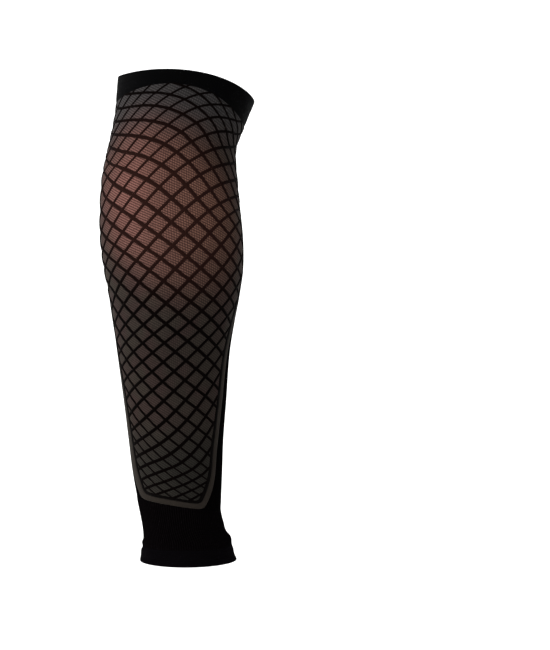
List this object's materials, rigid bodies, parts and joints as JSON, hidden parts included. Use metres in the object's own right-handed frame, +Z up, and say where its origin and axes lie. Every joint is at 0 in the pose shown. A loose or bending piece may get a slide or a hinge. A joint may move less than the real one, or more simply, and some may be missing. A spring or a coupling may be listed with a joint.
{
  "type": "calf compression sleeve",
  "caption": "Footless knitted compression sleeve for the lower leg, in its worn shape: a raised net over the calf in a striped frame, plain shin, ribbed ankle cuff and black welts.",
  "frame": {"origin": "the middle of the calf's fullest section, on the axis of the leg that wears the sleeve", "axes": "+Z up the leg towards the knee, -Y towards the back of the calf, +X towards the inner side of a left leg"},
  "size_m": [0.1139, 0.1208, 0.3603],
  "materials": {
    "band_knit": "smooth matt black knit, folded double at the rim",
    "net_knit": "fine charcoal knit with a warm cast over the calf, under a net of near-black lines",
    "outline_knit": "matt black knit line",
    "stripe_knit": "plain fine charcoal knit",
    "shin_knit": "plain fine black knit",
    "cuff_knit": "black knit with fine upright ribs",
    "hem_knit": "smooth blue-black welt with fine lines round its edge"
  },
  "bodies": {
    "root": {"top_band": "band_knit", "net_panel": "net_knit", "panel_outline": "outline_knit", "panel_stripe": "stripe_knit", "shin_panel": "shin_knit", "ankle_cuff": "cuff_knit", "hem": "hem_knit"}
  },
  "joints": []
}
